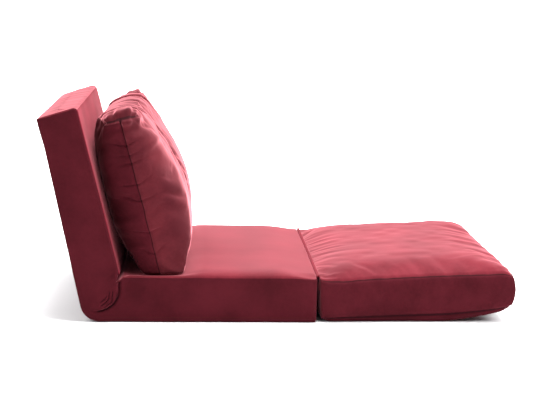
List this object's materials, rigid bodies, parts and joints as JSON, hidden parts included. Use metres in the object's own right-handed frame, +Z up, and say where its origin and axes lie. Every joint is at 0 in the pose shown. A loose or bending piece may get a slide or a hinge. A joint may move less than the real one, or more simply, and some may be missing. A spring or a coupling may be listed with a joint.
{
  "type": "convertible armchair",
  "caption": "Low velvet floor armchair with a stepped reclining back, a loose back pillow and a foot pad that unfolds from the seat to make a single bed.",
  "frame": {"origin": "middle of the seat section's underside, on the floor", "axes": "+X along the length towards the foot pad, +Y across to the sitter's left, +Z up"},
  "size_m": [1.4439, 0.802, 0.6409],
  "materials": {
    "velvet": "claret short-pile velvet",
    "foam": "open-cell foam",
    "fibre": "loose polyester fibre",
    "frame_steel": "black powder coat",
    "hinge_steel": "zinc-plated pressed steel",
    "webbing": "woven elastic",
    "base_cloth": "black non-woven cloth",
    "zip": "dyed coil zip",
    "slider": "dyed die-cast slider"
  },
  "bodies": {
    "seat": {"seat_cover": "velvet", "seat_foam_top": "foam", "seat_foam_base": "foam", "seat_tube": "frame_steel", "seat_cross_tubes": "frame_steel", "seat_straps": "webbing", "seat_rivets": "hinge_steel", "base_cloth": "base_cloth", "hinge_seat_plates": "hinge_steel", "hinge_caps": "hinge_steel", "hinge_pivots": "hinge_steel", "pawl_pins": "hinge_steel", "pawl_springs": "hinge_steel", "fold_tape_seat": "velvet"},
    "back": {"back_cover": "velvet", "back_foam_front": "foam", "back_foam_rear": "foam", "back_tube": "frame_steel", "back_cross_tubes": "frame_steel", "back_straps": "webbing", "back_rivets": "hinge_steel", "hinge_wheels": "hinge_steel", "back_zip": "zip"},
    "foot": {"foot_cover": "velvet", "foot_wadding": "fibre", "foot_foam": "foam", "fold_tape_foot": "velvet", "foot_zip": "zip"},
    "pillow": {"pillow_cover": "velvet", "pillow_filling": "fibre", "pillow_zip": "zip"},
    "pawl_left": {"pawl_left": "hinge_steel"},
    "pawl_right": {"pawl_right": "hinge_steel"},
    "back_zip_slider": {"back_zip_slider": "slider"},
    "foot_zip_slider": {"foot_zip_slider": "slider"},
    "pillow_zip_slider": {"pillow_zip_slider": "slider"}
  },
  "joints": [
    {"name": "back_recline", "type": "hinge", "parent": "seat", "child": "back", "pos_m": [-0.30312, 0, 0.06], "axis": [0, -1, 0], "range_deg": [0, 76]},
    {"name": "foot_flip", "type": "hinge", "parent": "seat", "child": "foot", "pos_m": [0.3548, 0, 0.14], "axis": [0, -1, 0], "range_deg": [0, 175]},
    {"name": "pillow_lift", "type": "slide", "parent": "back", "child": "pillow", "axis": [-0.2419, 0, 0.9703], "range_m": [0, 0.45]},
    {"name": "pawl_left_lift", "type": "hinge", "parent": "seat", "child": "pawl_left", "pos_m": [-0.28087, 0.33165, 0.09562], "axis": [0, -1, 0], "range_deg": [0, 9], "stiffness_Nm_per_rad": 0.02, "deforming": ["pawl_springs"]},
    {"name": "pawl_right_lift", "type": "hinge", "parent": "seat", "child": "pawl_right", "pos_m": [-0.28087, -0.33165, 0.09562], "axis": [0, -1, 0], "range_deg": [0, 9], "stiffness_Nm_per_rad": 0.02},
    {"name": "back_zip_slide", "type": "slide", "parent": "back", "child": "back_zip_slider", "axis": [0, 1, 0], "range_m": [0, 0.634]},
    {"name": "foot_zip_slide", "type": "slide", "parent": "foot", "child": "foot_zip_slider", "axis": [0, 1, 0], "range_m": [0, 0.626]},
    {"name": "pillow_zip_slide", "type": "slide", "parent": "pillow", "child": "pillow_zip_slider", "axis": [0, 1, 0], "range_m": [0, 0.454]}
  ],
  "couplings": [
    {"joint": "pillow_lift", "follows": "foot_flip", "m_per_rad": 0.14733},
    {"joint": "pawl_right_lift", "follows": "pawl_left_lift", "ratio": 1}
  ]
}
